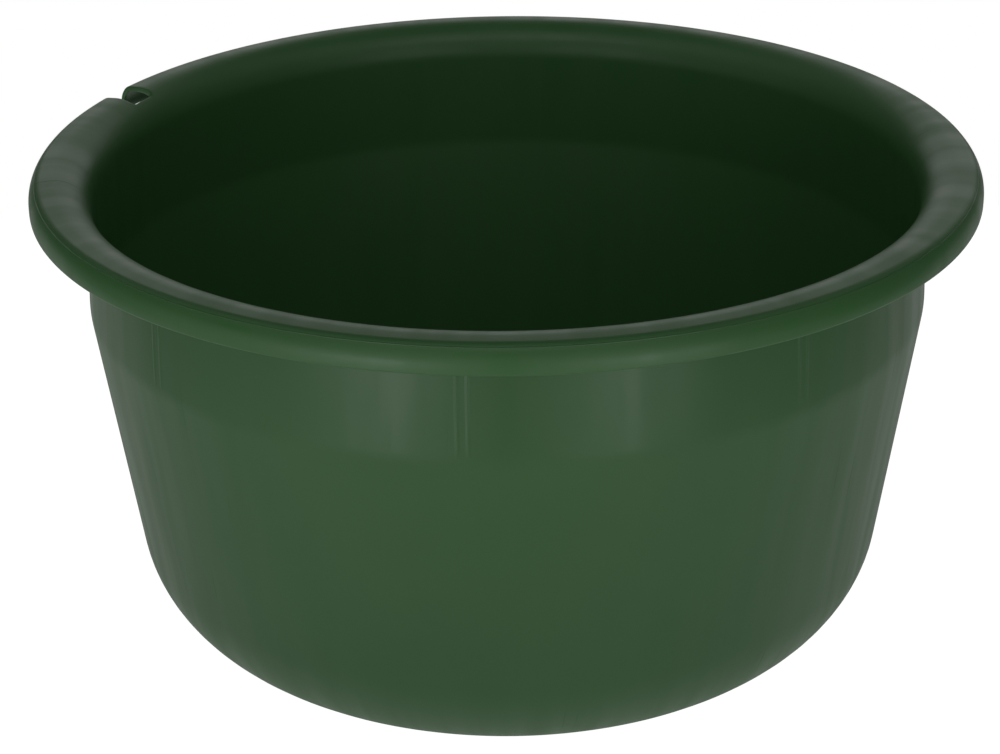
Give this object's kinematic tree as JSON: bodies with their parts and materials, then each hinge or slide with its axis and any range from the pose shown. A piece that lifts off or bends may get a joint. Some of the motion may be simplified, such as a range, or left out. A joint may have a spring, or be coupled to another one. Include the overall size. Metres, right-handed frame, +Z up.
{
  "type": "mortar mixing tub",
  "caption": "Round open plastic tub for mixing mortar, with conical wall, rounded bottom corner, rolled rim, stacking ribs and a hanging slot in the rim.",
  "frame": {"origin": "centre of the base on the floor plane", "axes": "+Z up along the turning axis, +X to the right and +Y away from someone who looks at the tub from the front, with the hanging slot at the back left"},
  "size_m": [0.5, 0.5, 0.2627],
  "materials": {
    "green_plastic": "satin moulded polyethylene, dark green"
  },
  "bodies": {
    "root": {"tub_shell": "green_plastic"}
  },
  "joints": []
}
